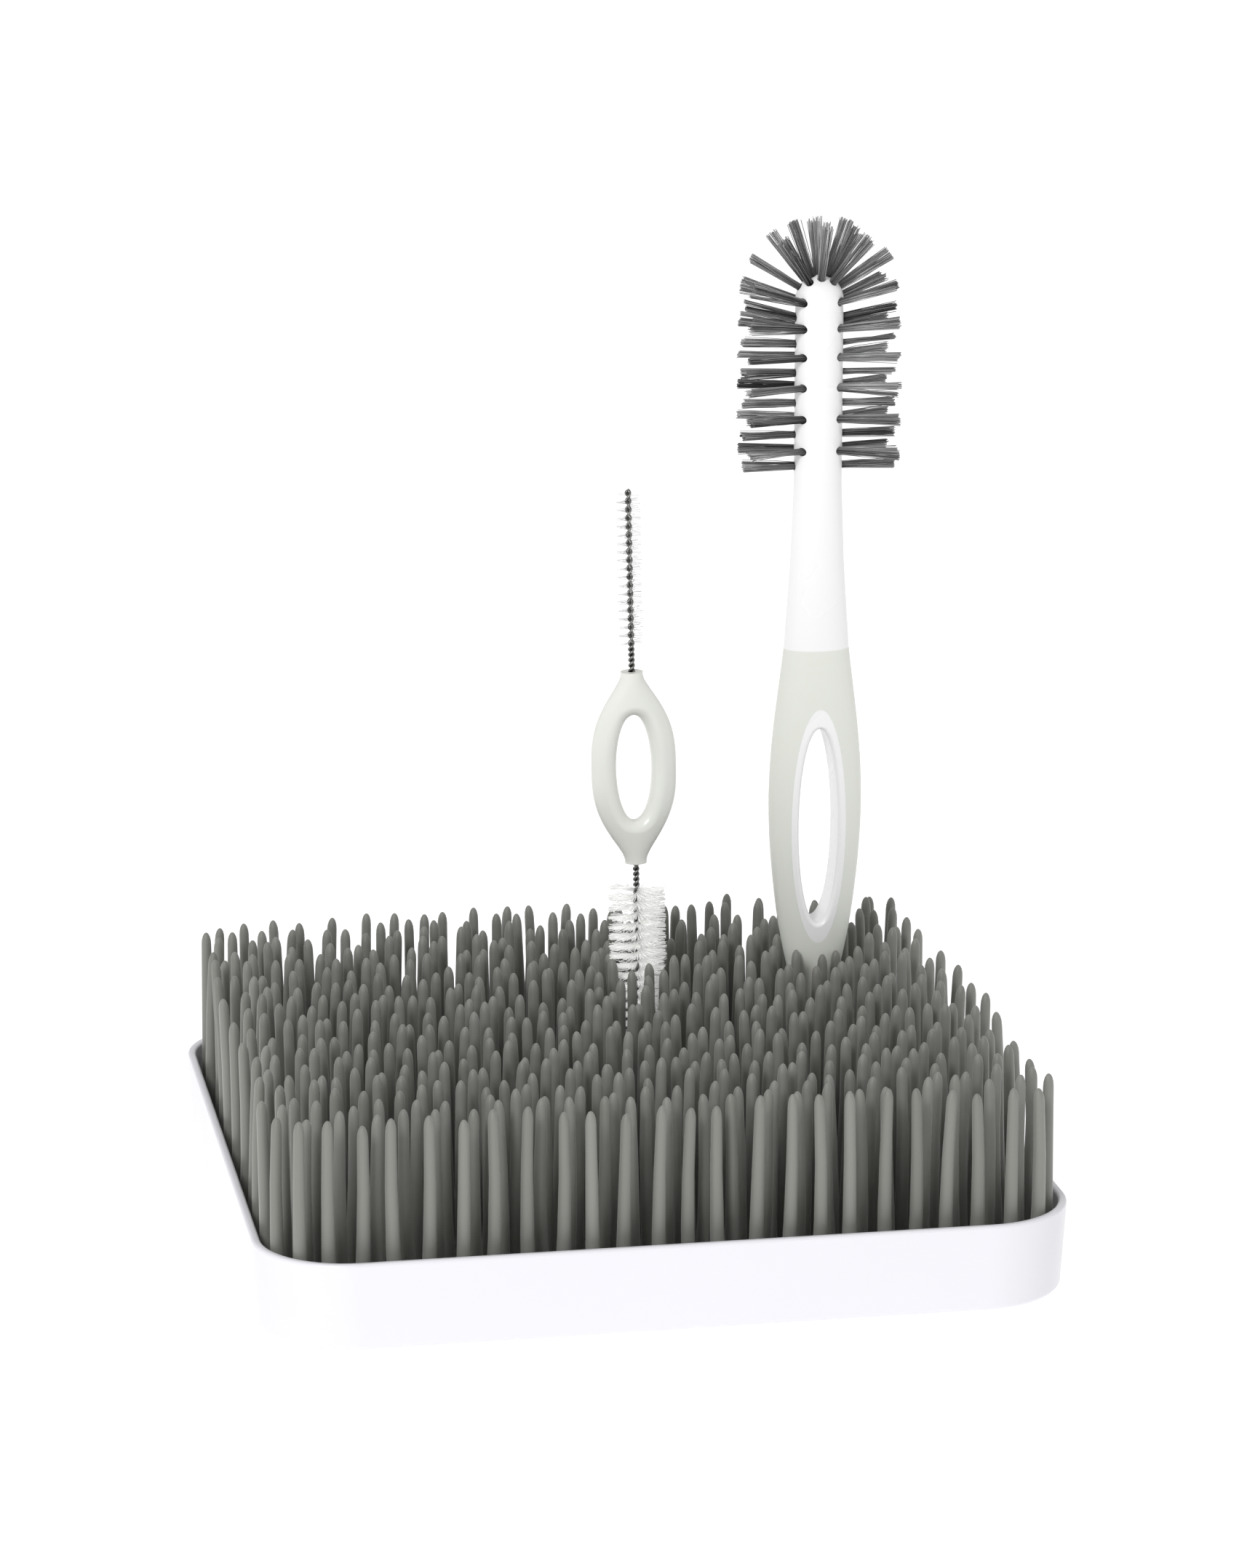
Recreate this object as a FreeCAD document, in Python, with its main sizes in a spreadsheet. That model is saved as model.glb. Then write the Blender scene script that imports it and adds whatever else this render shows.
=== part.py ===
"""Grass-style bottle drying rack with its two cleaning brushes.

A white tray catches the water.  A dark insert drops into it: a floor with drain slots which
carries rows of soft upright blades.  A bottle brush and a double-ended detail brush stand in the
blades.  Millimetres, +Z up, origin on the table under the middle of the tray; -Y is the front.
"""

import FreeCAD, Part
import math
import os
import random
import Sketcher
from FreeCAD import Placement, Rotation, Vector

SIZES = {
    # tray
    "tray_width": 241.0,          # outside, at the rim
    "tray_depth": 241.0,
    "tray_height": 26.4,
    "tray_corner": 28.0,          # outside corner radius at the rim
    "tray_draft": 1.4,            # each side leans in this much from rim to base
    "tray_wall": 2.6,
    "tray_floor": 2.6,
    "rim_round": 1.0,
    "foot_round": 1.6,
    "basin_round": 3.0,           # inside, where floor meets wall
    # insert
    "pan_clearance": 0.5,         # all round, to the tray's inside wall
    "pan_floor": 2.0,
    "drip_space": 6.0,            # under the insert's floor
    "peg_diameter": 8.0,          # the insert stands on pegs
    "peg_inset": 34.0,            # outermost pegs, from the tray's outside
    "pegs_each_way": 4,
    "slot_width": 2.2,
    "slot_length": 26.0,
    "slots_per_row": 6,
    # blades
    "blade_height": 56.0,         # above the insert's floor, the tallest
    "blade_root": 4.5,            # diameter at the insert's floor
    "blade_neck": 3.2,            # diameter where the rounded tip starts
    "blade_tip": 4.0,             # length of the rounded tip
    "blade_short": 3.2,           # the shortest blade is this much shorter
    "blade_columns": 25,
    "blade_rows": 23,
    "side_margin": 6.24,          # outermost blade axes, from the tray's outside on the left and right
    "end_margin": 11.0,           # the same at the front and back
    "blade_wander": 1.1,          # a blade's foot strays this far from its grid point
    "blade_gap": 0.45,            # least gap that leaning leaves between two tips
    "hold_gap": 0.5,              # least gap between a blade and a brush it holds
    # bottle brush: stations up its length, each with a width (X) and a depth (Y)
    "brush_seat": 15.5,           # tail end above the insert's floor
    "brush_off_centre": 0.7,      # it stands this far to the right of the middle of its gap
    "tail_round": 3.2,            # height of the rounded tail end
    "tail_width": 8.0, "tail_depth": 6.4,
    "waist_height": 24.0, "waist_width": 14.2, "waist_depth": 10.4,
    "ankle_height": 37.0, "ankle_width": 20.0, "ankle_depth": 12.8,
    "hip_height": 59.0, "hip_width": 26.8, "hip_depth": 14.6,
    "belly_height": 80.0, "belly_width": 29.8, "belly_depth": 15.4,
    "shoulder_height": 112.0, "shoulder_width": 26.6, "shoulder_depth": 14.8,
    "collar_height": 135.0, "collar_width": 20.9, "collar_depth": 14.0,
    "neck_height": 162.0, "neck_width": 17.2, "neck_depth": 13.0,
    "stem_height": 187.0, "stem_width": 15.2, "stem_depth": 12.0,
    "dome_height": 245.4, "dome_rise": 7.6,
    "grip_wall": 2.2,             # soft grip over the core
    "window_centre": 78.1, "window_height": 63.7, "window_width": 12.7,
    "lip_ends": 6.3, "lip_sides": 2.45,   # core that shows round the window
    "window_round": 1.2,
    # bottle brush: tufts
    "tuft_root": 2.3, "tuft_tip": 4.1, "tuft_length": 17.4, "tuft_depth": 4.0,
    "tuft_fit": 0.04,             # a tuft's hole is this much wider
    "tuft_pitch": 10.1, "tuft_first": 193.1, "tufts_in_column": 6,
    "tuft_closing": 0.03,         # the tufts stand closer and closer together towards the top
    "column_angle": 38.0,         # front and back columns, round the stem's oval from its side
    "column_splay": 16.0,         # and how far their tufts point off the X axis
    "column_extra": 1.8,          # their tufts are longer by this much
    "column_top_lift": 17.0,      # how far the topmost tufts point upwards
    "crown_middle": 4, "crown_middle_lean": 58.0,
    "crown_side": 3, "crown_side_lean": 34.0, "crown_splay": 22.0, "crown_extra": 1.6,
    # detail brush, heights from the middle of its ring
    "ring_length": 61.6,          # over both necks
    "ring_width": 27.0, "ring_depth": 10.0, "ring_neck": 7.0,
    "ring_hole_width": 11.4, "ring_hole_height": 34.2, "ring_round": 3.2,
    "wire_width": 2.35, "wire_grip": 9.0, "wire_fit": 0.04,
    "straw_reach": 57.4, "straw_bristle": 8.2, "straw_bare": 8.4,
    "teat_reach": 65.0, "teat_bristle": 19.0, "teat_bare": 8.2,
    "teat_squeezed": 8.0,         # bristle width at the lower end, held in by the blades
    "wire_end": 0.8,              # wire that shows past each brush of bristles
    "detail_tilt": 1.25,          # degrees, towards -X
    "detail_seat": 20.2,          # lower wire end above the insert's floor
}
BOTTLE_BRUSH_SPOT = (76.7, 53.0)  # wanted places; each brush takes the nearest gap between blades
DETAIL_BRUSH_SPOT = (18.9, 48.0)
BLADE_SEED = 20
RING_SHOULDER = 0.95              # share of the ring's half length at which its straight necks start
RING_FULLNESS, RING_NECKING = 1.45, 1.25   # powers that fill out the ring's middle and hollow its shoulders
RING_SECTIONS = 8                 # ovals from the ring's middle to each neck
REACH_OF_BRUSH = 3                # grid steps within which a blade may have to lean away from a brush
CORNER_PULL = 0.9                 # grid steps that a corner's blade may be pulled in to clear the curve
CALM_REACH = 1.9                  # grid steps from a brush at which blades stand quite freely again
HEIGHT_STEPS = 14                 # heights at which a blade is kept clear of a brush
LEAN_STEP = 0.1                   # a blade leans away from a brush in steps of this
LIFT_POWER = 5                    # how late up a column its tufts start to point upwards
HOLE_SEARCH = 0.5                 # how closely an edge has to match the oval hole that it is on
GRIP_STATIONS = ["tail", "waist", "ankle", "hip", "belly", "shoulder", "collar"]

doc = FreeCAD.newDocument("bottle_drying_rack")
sheet = doc.addObject("Spreadsheet::Sheet", "Sizes")
for line, (alias, value) in enumerate(SIZES.items(), start=1):
    sheet.set(f"A{line}", alias)
    sheet.set(f"B{line}", str(value))
    sheet.setAlias(f"B{line}", alias)
doc.recompute()


def size(alias):
    """The number that the sheet holds."""
    return float(sheet.get(alias))


def cell(alias):
    """The same number as an expression."""
    return f"Sizes.{alias}"


def bind(thing, **expressions):
    """Binds properties to expressions; a double underscore stands for a dot in the property's path."""
    for path, expression in expressions.items():
        thing.setExpression(path.replace("__", "."), str(expression))
    return thing


def part(kind, label, **expressions):
    """A Part workbench object with its sizes bound."""
    return bind(doc.addObject(kind, label), **expressions)


def boolean(kind, label, base, tool):
    """Part::Cut or Part::Common of two objects."""
    made = doc.addObject(kind, label)
    made.Base = base
    made.Tool = tool
    return made


def fuse(label, *shapes):
    made = doc.addObject("Part::MultiFuse", label)
    made.Shapes = list(shapes)
    return made


def feature(label, shape):
    """A Part::Feature whose shape this file works out."""
    made = doc.addObject("Part::Feature", label)
    made.Shape = shape
    return made


# ---------------------------------------------------------------- heights and widths that pieces share

PAN_UNDERSIDE = "(Sizes.tray_floor + Sizes.drip_space)"
PAN_FLOOR_TOP = "(Sizes.tray_floor + Sizes.drip_space + Sizes.pan_floor)"


def lean_in(height):
    """How far the tray's wall stands in from its rim at a height."""
    return f"(Sizes.tray_draft * (1 - ({height}) / Sizes.tray_height))"


def inset_outline(inset, height):
    """Width, depth and corner radius of the tray's outside, moved in by an inset, at a height."""
    shift = f"({inset} + {lean_in(height)})"
    return (
        f"Sizes.tray_width - 2 * {shift}",
        f"Sizes.tray_depth - 2 * {shift}",
        f"Sizes.tray_corner - {shift}",
    )


def pan_floor_top():
    return size("tray_floor") + size("drip_space") + size("pan_floor")


# ---------------------------------------------------------------- sketch and body helpers

def origin_plane(body, role):
    return next(f for f in body.Origin.OriginFeatures if f.Role == role)


def new_sketch(body, label, height):
    """A sketch on the body's XY plane, lifted to a height."""
    made = body.newObject("Sketcher::SketchObject", label)
    made.AttachmentSupport = [(origin_plane(body, "XY_Plane"), "")]
    made.MapMode = "FlatFace"
    bind(made, AttachmentOffset__Base__z=height)
    return made


def rounded_rectangle(body, label, outline, height):
    """A sketched rectangle with round corners, centred on the origin; outline is width, depth, radius."""
    made = new_sketch(body, label, height)
    half_x, half_y, round_ = 50.0, 40.0, 10.0          # starting values, which the constraints replace
    in_x, in_y = half_x - round_, half_y - round_
    corners = [(1, 1, 0), (1, -1, 270), (-1, -1, 180), (-1, 1, 90)]
    lines = [
        (Vector(-in_x, half_y, 0), Vector(in_x, half_y, 0)),
        (Vector(half_x, in_y, 0), Vector(half_x, -in_y, 0)),
        (Vector(in_x, -half_y, 0), Vector(-in_x, -half_y, 0)),
        (Vector(-half_x, -in_y, 0), Vector(-half_x, in_y, 0)),
    ]
    for start, end in lines:
        made.addGeometry(Part.LineSegment(start, end), False)
    for side_x, side_y, angle in corners:
        circle = Part.Circle(Vector(side_x * in_x, side_y * in_y, 0), Vector(0, 0, 1), round_)
        arc = Part.ArcOfCircle(circle, math.radians(angle), math.radians(angle + 90))
        made.addGeometry(arc, False)
    start, end, origin = 1, 2, (-1, 1)
    for side in range(4):
        made.addConstraint(Sketcher.Constraint("Tangent", side, end, side + 4, end))
        made.addConstraint(Sketcher.Constraint("Tangent", side + 4, start, (side + 1) % 4, start))
        made.addConstraint(Sketcher.Constraint(("Horizontal", "Vertical")[side % 2], side))
    for corner in (5, 6, 7):
        made.addConstraint(Sketcher.Constraint("Equal", 4, corner))
    made.addConstraint(Sketcher.Constraint("Symmetric", 0, start, 2, start, *origin))
    sizes = [
        ("width", Sketcher.Constraint("DistanceX", 3, start, 1, start, 2 * half_x)),
        ("depth", Sketcher.Constraint("DistanceY", 2, start, 0, start, 2 * half_y)),
        ("radius", Sketcher.Constraint("Radius", 4, round_)),
    ]
    for (name, constraint), expression in zip(sizes, outline):
        made.renameConstraint(made.addConstraint(constraint), name)
        made.setExpression(f"Constraints.{name}", expression)
    return made


def drafted_block(body, kind, label, inset, low, high):
    """A loft, added or subtracted, that follows the tray's leaning wall at an inset."""
    bottom = rounded_rectangle(body, label + "_low", inset_outline(inset, low), low)
    top = rounded_rectangle(body, label + "_high", inset_outline(inset, high), high)
    loft = body.newObject(kind, label)
    loft.Profile = bottom
    loft.Sections = [top]
    loft.Ruled = True
    doc.recompute()
    return loft


def round_edges(body, label, radius, wanted):
    """Fillets the edges of the body's tip that a test picks."""
    base = body.Tip
    names = [f"Edge{n}" for n, edge in enumerate(base.Shape.Edges, start=1) if wanted(edge)]
    made = body.newObject("PartDesign::Fillet", label)
    made.Base = (base, names)
    bind(made, Radius=radius)
    doc.recompute()
    return made


def lies_at(edge, height, tolerance=1e-4):
    box = edge.BoundBox
    return abs(box.ZMin - height) < tolerance and abs(box.ZMax - height) < tolerance


def grid_pattern(body, label, seed_feature, counts, spans):
    """Repeats a feature along X and then Y; spans are the whole lengths covered."""
    multi = body.newObject("PartDesign::MultiTransform", label)
    multi.Originals = [seed_feature]
    steps = []
    for axis, count, span in zip("XY", counts, spans):
        step = body.newObject("PartDesign::LinearPattern", f"{label}_{axis.lower()}")
        step.Direction = (origin_plane(body, f"{axis}_Axis"), [""])
        bind(step, Length=span, Occurrences=count)
        steps.append(step)
    multi.Transformations = steps
    body.Tip = multi
    doc.recompute()
    return multi


# ---------------------------------------------------------------- the blade grid

def grid_pitch(axis):
    """Spacing of the blade columns ("x") or rows ("y"), which fill the tray between the margins."""
    span, margin, count = {
        "x": ("tray_width", "side_margin", "blade_columns"), "y": ("tray_depth", "end_margin", "blade_rows"),
    }[axis]
    return (size(span) - 2 * size(margin)) / (size(count) - 1)


COLUMNS = int(size("blade_columns"))
ROWS = int(size("blade_rows"))
COLUMN_PITCH = grid_pitch("x")
ROW_PITCH = grid_pitch("y")


def grid_place(index, count, pitch):
    """Where a column or row stands; the grid is centred on the tray."""
    return (index - (count - 1) / 2) * pitch


def row_columns(row):
    """The columns' places in a row: every second row is shifted half a step and has one blade less."""
    count = COLUMNS - (row + 1) % 2
    return [grid_place(column, count, COLUMN_PITCH) for column in range(count)]


def brush_place(spot, seat):
    """Where a brush's lower end stands: as far from two blades of a row as from one of the next."""
    half = COLUMN_PITCH / 2
    ahead = (ROW_PITCH ** 2 - half ** 2) / (2 * ROW_PITCH)
    places = [
        (x + half, grid_place(row, ROWS, ROW_PITCH) + way * ahead)
        for row in range(1, ROWS - 1) for x in row_columns(row)[:-1] for way in (-1, 1)
    ]
    x, y = min(places, key=lambda place: math.dist(place, spot))
    return Vector(x, y, pan_floor_top() + size(seat))


def bottle_brush_foot():
    return brush_place(BOTTLE_BRUSH_SPOT, "brush_seat") + Vector(size("brush_off_centre"), 0, 0)


def in_corner(x, y):
    """True for a grid point in the square of a rounded corner, where a blade has no room to stray."""
    return all(
        abs(value) > size(span) / 2 - size("tray_corner")
        for span, value in (("tray_width", x), ("tray_depth", y))
    )


def fit_corner(x, y):
    """Pulls a foot inside the margin's rounded corner; None where the corner has no room for a blade."""
    round_ = size("tray_corner") - size("side_margin")
    reach = [size(span) / 2 - size("tray_corner") for span in ("tray_width", "tray_depth")]
    over_x, over_y = abs(x) - reach[0], abs(y) - reach[1]
    distance = math.hypot(over_x, over_y)
    if min(over_x, over_y) <= 0 or distance <= round_:
        return x, y
    if distance > round_ + CORNER_PULL * min(COLUMN_PITCH, ROW_PITCH):
        return None
    return (
        math.copysign(reach[0] + over_x * round_ / distance, x),
        math.copysign(reach[1] + over_y * round_ / distance, y),
    )


# ---------------------------------------------------------------- tray

def make_tray():
    body = doc.addObject("PartDesign::Body", "tray")
    drafted_block(body, "PartDesign::AdditiveLoft", "tray_block", 0, "0", cell("tray_height"))
    drafted_block(
        body, "PartDesign::SubtractiveLoft", "basin",
        cell("tray_wall"), cell("tray_floor"), cell("tray_height"),
    )
    rim, floor = size("tray_height"), size("tray_floor")
    round_edges(body, "rim_rounding", cell("rim_round"), lambda edge: lies_at(edge, rim))
    round_edges(body, "foot_rounding", cell("foot_round"), lambda edge: lies_at(edge, 0))
    round_edges(body, "basin_rounding", cell("basin_round"), lambda edge: lies_at(edge, floor))
    return body


# ---------------------------------------------------------------- insert's floor

def make_pan():
    """The insert's floor and the pegs under it, which are really moulded in one with the blades."""
    outside = "(Sizes.tray_wall + Sizes.pan_clearance)"
    floor = doc.addObject("PartDesign::Body", "insert_floor")
    drafted_block(floor, "PartDesign::AdditiveLoft", "floor_plate", outside, PAN_UNDERSIDE, PAN_FLOOR_TOP)
    cut_slots(floor)
    return [floor, make_pegs()]


def make_pegs():
    """Pegs hold the insert's floor off the tray's floor, so that water can collect."""
    count = int(size("pegs_each_way"))
    reach = [size(span) / 2 - size("peg_inset") for span in ("tray_width", "tray_depth")]
    steps = [-1 + 2 * n / (count - 1) for n in range(count)]
    pegs = [
        Part.makeCylinder(
            size("peg_diameter") / 2, size("drip_space"),
            Vector(reach[0] * x, reach[1] * y, size("tray_floor")),
        )
        for x in steps for y in steps
    ]
    return feature("insert_pegs", Part.makeCompound(pegs))


def cut_slots(body):
    """Drain slots lie along X, one line of them in each gap between two rows of blades."""
    slot_pitch = (COLUMNS - 1) * COLUMN_PITCH / size("slots_per_row")
    first_x = -slot_pitch * (size("slots_per_row") - 1) / 2
    first_y = grid_place(0.5, ROWS, ROW_PITCH)
    half, end = size("slot_width") / 2, (size("slot_length") - size("slot_width")) / 2
    sketch = new_sketch(body, "slot_outline", PAN_FLOOR_TOP)
    for side in (1, -1):
        ends = [Vector(first_x + way * end, first_y + side * half, 0) for way in (-side, side)]
        sketch.addGeometry(Part.LineSegment(*ends), False)
    for side, angle in ((1, -90), (-1, 90)):
        circle = Part.Circle(Vector(first_x + side * end, first_y, 0), Vector(0, 0, 1), half)
        sketch.addGeometry(Part.ArcOfCircle(circle, math.radians(angle), math.radians(angle + 180)), False)
    # joints run round the slot: top line, right arc, bottom line, left arc
    for line, line_end, arc, arc_end in ((0, 2, 2, 2), (1, 1, 2, 1), (1, 2, 3, 2), (0, 1, 3, 1)):
        sketch.addConstraint(Sketcher.Constraint("Tangent", line, line_end, arc, arc_end))
    sketch.addConstraint(Sketcher.Constraint("Horizontal", 0))
    sketch.addConstraint(Sketcher.Constraint("Equal", 2, 3))
    half_span = "(Sizes.slot_length - Sizes.slot_width) / 2"
    sizes = [
        (Sketcher.Constraint("Radius", 2, half), "Sizes.slot_width / 2"),
        (Sketcher.Constraint("DistanceX", 2, 3, first_x + end), f"{first_x} + {half_span}"),
        (Sketcher.Constraint("DistanceX", 3, 3, first_x - end), f"{first_x} - {half_span}"),
        (Sketcher.Constraint("DistanceY", 2, 3, first_y), str(first_y)),
    ]
    for constraint, expression in sizes:
        index = sketch.addConstraint(constraint)
        sketch.setExpression(f"Constraints[{index}]", expression)
    pocket = body.newObject("PartDesign::Pocket", "slot")
    pocket.Profile = sketch
    bind(pocket, Length=cell("pan_floor"))
    doc.recompute()
    grid_pattern(
        body, "slots", pocket, [cell("slots_per_row"), ROWS - 1],
        [-2 * first_x, -2 * first_y],
    )


# ---------------------------------------------------------------- blades

def make_blade_pattern():
    """One upright blade, drawn with spare length below the insert's floor for the trim."""
    spare = "(2 * Sizes.blade_short)"
    slope = "((Sizes.blade_root - Sizes.blade_neck) / (Sizes.blade_height - Sizes.blade_tip))"
    shaft = part(
        "Part::Cone", "blade_shaft",
        Radius1=f"(Sizes.blade_root + {slope} * {spare}) / 2",
        Radius2="Sizes.blade_neck / 2",
        Height=f"Sizes.blade_height - Sizes.blade_tip + {spare}",
        Placement__Base__z=f"-{spare}",
    )
    tip = part(
        "Part::Ellipsoid", "blade_tip_dome",
        Radius1=cell("blade_tip"), Radius2="Sizes.blade_neck / 2", Radius3="Sizes.blade_neck / 2",
        Placement__Base__z="Sizes.blade_height - Sizes.blade_tip",
    )
    tip.Angle1 = 0
    blade = fuse("blade_pattern", shaft, tip)
    doc.recompute()
    return blade.Shape.Solids[0]


def blade_radius(height):
    """A blade's radius at a height above the insert's floor."""
    share = height / (size("blade_height") - size("blade_tip"))
    return (size("blade_root") + (size("blade_neck") - size("blade_root")) * min(share, 1)) / 2


def along(stations, height):
    """Straight-line value between (height, value) stations, held constant past their ends."""
    if height <= stations[0][0]:
        return stations[0][1]
    for (low, a), (high, b) in zip(stations, stations[1:]):
        if height <= high:
            return a + (b - a) * (height - low) / (high - low)
    return stations[-1][1]


class Standing:
    """The room that a brush standing in the blades takes: an ellipse at each height above its floor."""

    def __init__(self, foot, tilt, half_x, half_y):
        self.foot, self.tilt, self.half_x, self.half_y = foot, tilt, half_x, half_y
        self.foot_height = foot.z - pan_floor_top()

    def centre(self, height):
        shift = (height - self.foot_height) * math.tan(math.radians(self.tilt))
        return self.foot.x - shift, self.foot.y

    def clears(self, x, y, height):
        """True if a blade's section at this place and height keeps the hold gap."""
        if height < self.foot_height - size("hold_gap"):
            return True
        centre_x, centre_y = self.centre(height)
        room = blade_radius(height) + size("hold_gap")
        reach_x = along(self.half_x, height - self.foot_height) + room
        reach_y = along(self.half_y, height - self.foot_height) + room
        return math.hypot((x - centre_x) / reach_x, (y - centre_y) / reach_y) >= 1

    def outward(self, x, y):
        """Unit direction that leads out of the brush's section the shortest way."""
        top = size("blade_height") - self.foot_height
        centre_x, centre_y = self.centre(size("blade_height"))
        dx = (x - centre_x) / along(self.half_x, top) ** 2
        dy = (y - centre_y) / along(self.half_y, top) ** 2
        length = math.hypot(dx, dy)
        return dx / length, dy / length

    def nearness(self, x, y):
        """1 for a foot right beside the brush, falling to 0 two steps of the grid away."""
        distance = math.hypot(x - self.foot.x, y - self.foot.y) / min(COLUMN_PITCH, ROW_PITCH)
        return min(1.0, max(0.0, CALM_REACH - distance))

    def free(self, x, y, lean_x, lean_y):
        """The lean, with enough added outward that the whole blade clears the brush."""
        out_x, out_y = self.outward(x, y)
        top = size("blade_height")
        heights = [top * n / HEIGHT_STEPS for n in range(HEIGHT_STEPS + 1)]
        moved = 0.0
        while not all(
            self.clears(
                x + (lean_x + out_x * moved) * z / top, y + (lean_y + out_y * moved) * z / top, z,
            ) for z in heights
        ):
            moved += LEAN_STEP
        return lean_x + out_x * moved, lean_y + out_y * moved


def brush_rooms():
    """Both brushes as they stand, for the blades to lean away from."""
    stations = [
        (station_height(name), size(f"{name}_width") / 2, size(f"{name}_depth") / 2)
        for name in GRIP_STATIONS
    ]
    squeezed, full = size("teat_squeezed") / 2, size("teat_bristle") / 2
    round_section = [(0.0, squeezed), (squeeze_length(), full)]
    detail_foot = brush_place(DETAIL_BRUSH_SPOT, "detail_seat")
    return [
        Standing(
            bottle_brush_foot(), 0.0,
            [(z, half) for z, half, _ in stations], [(z, half) for z, _, half in stations],
        ),
        Standing(detail_foot, size("detail_tilt"), round_section, round_section),
    ]


def squeeze_length():
    """The lower part of the detail brush that stands among the blades."""
    return size("blade_height") - size("detail_seat") + size("hold_gap")


def blade_lines(chance):
    """Foot and tip of every blade above the insert's floor, row by row, with how far the blade is sunk."""
    rooms = brush_rooms()
    wander = size("blade_wander")
    pitch = min(COLUMN_PITCH, ROW_PITCH)
    most = (pitch - size("blade_neck") - size("blade_gap")) / 2 - wander
    outermost = size("tray_width") / 2 - size("side_margin")
    rows = []
    for row in range(ROWS):
        lines = []
        for column_x in row_columns(row):
            shift = [chance.uniform(-wander, wander) for _ in "xy"]
            angle, reach = chance.uniform(0, 2 * math.pi), most * math.sqrt(chance.random())
            sink = size("blade_short") * chance.random()
            x, y = column_x, grid_place(row, ROWS, ROW_PITCH)
            calm = 0 if in_corner(x, y) else 1 - max(room.nearness(x, y) for room in rooms)
            strayed = max(-outermost, min(outermost, x + shift[0] * calm))
            foot = fit_corner(strayed, y + shift[1] * calm)
            if not foot:
                continue
            lean = reach * math.cos(angle) * calm, reach * math.sin(angle) * calm
            for room in rooms:
                if math.dist(foot, (room.foot.x, room.foot.y)) < REACH_OF_BRUSH * pitch:
                    lean = room.free(*foot, *lean)
            lines.append((foot, lean, sink))
        rows.append(lines)
    return rows


def make_blade_rows():
    """One node for each row; a blade leans, stands a little lower or higher, and is trimmed at the floor."""
    pattern = make_blade_pattern()
    level = pan_floor_top()
    below = Part.makeBox(
        size("tray_width"), size("tray_depth"), level,
        Vector(-size("tray_width") / 2, -size("tray_depth") / 2, 0),
    )
    rows = []
    for number, lines in enumerate(blade_lines(random.Random(BLADE_SEED)), start=1):
        blades = []
        for (x, y), (lean_x, lean_y), sink in lines:
            turn = Rotation(Vector(0, 0, 1), Vector(lean_x, lean_y, size("blade_height")))
            blade = pattern.copy()
            blade.Placement = Placement(Vector(x, y, level) - turn.multVec(Vector(0, 0, sink)), turn)
            blades.append(blade.cut(below).Solids[0])
        rows.append(feature(f"blade_row_{number:02d}", Part.makeCompound(blades)))
    return rows


# ---------------------------------------------------------------- bottle brush

def station_height(name):
    return size("tail_round") if name == "tail" else size(f"{name}_height")


def level_oval(label, width, depth, height):
    """A level ellipse, wide along X."""
    made = part("Part::Ellipse", label, MajorRadius=f"({width}) / 2", MinorRadius=f"({depth}) / 2")
    return bind(made, Placement__Base__z=height)


def loft(label, sections):
    made = doc.addObject("Part::Loft", label)
    made.Sections = sections
    made.Solid = True
    return made


def dome(label, rise, width, depth, height, angles):
    """Half an ellipsoid that rounds off an oval section; angles are its lowest and highest latitude."""
    made = part(
        "Part::Ellipsoid", label,
        Radius1=rise, Radius2=f"({width}) / 2", Radius3=f"({depth}) / 2", Placement__Base__z=height,
    )
    made.Angle1, made.Angle2 = angles
    return made


def upright_oval(label, height, width, centre, thickness):
    """An oval that stands along Z, extruded both ways along Y."""
    outline = part(
        "Part::Ellipse", label + "_outline", MajorRadius=f"({height}) / 2", MinorRadius=f"({width}) / 2",
    )
    outline.Placement = Placement(Vector(0, 0, 0), Rotation(Vector(1, 1, 1), -120))
    bind(outline, Placement__Base__z=centre)
    made = doc.addObject("Part::Extrusion", label)
    made.Base = outline
    made.DirMode = "Custom"
    made.Dir = Vector(0, 1, 0)
    made.Symmetric = True
    made.Solid = True
    return bind(made, LengthFwd=thickness)


def grip_sections(prefix, stations, shrink):
    """Ovals at the stations, each less wide and deep by twice the shrink."""
    sections = []
    for name in stations:
        height = "Sizes.tail_round" if name == "tail" else f"Sizes.{name}_height"
        width, depth = (f"Sizes.{name}_{way} - 2 * {shrink}" for way in ("width", "depth"))
        sections.append(level_oval(f"{prefix}_{name}", width, depth, height))
    return sections


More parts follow.
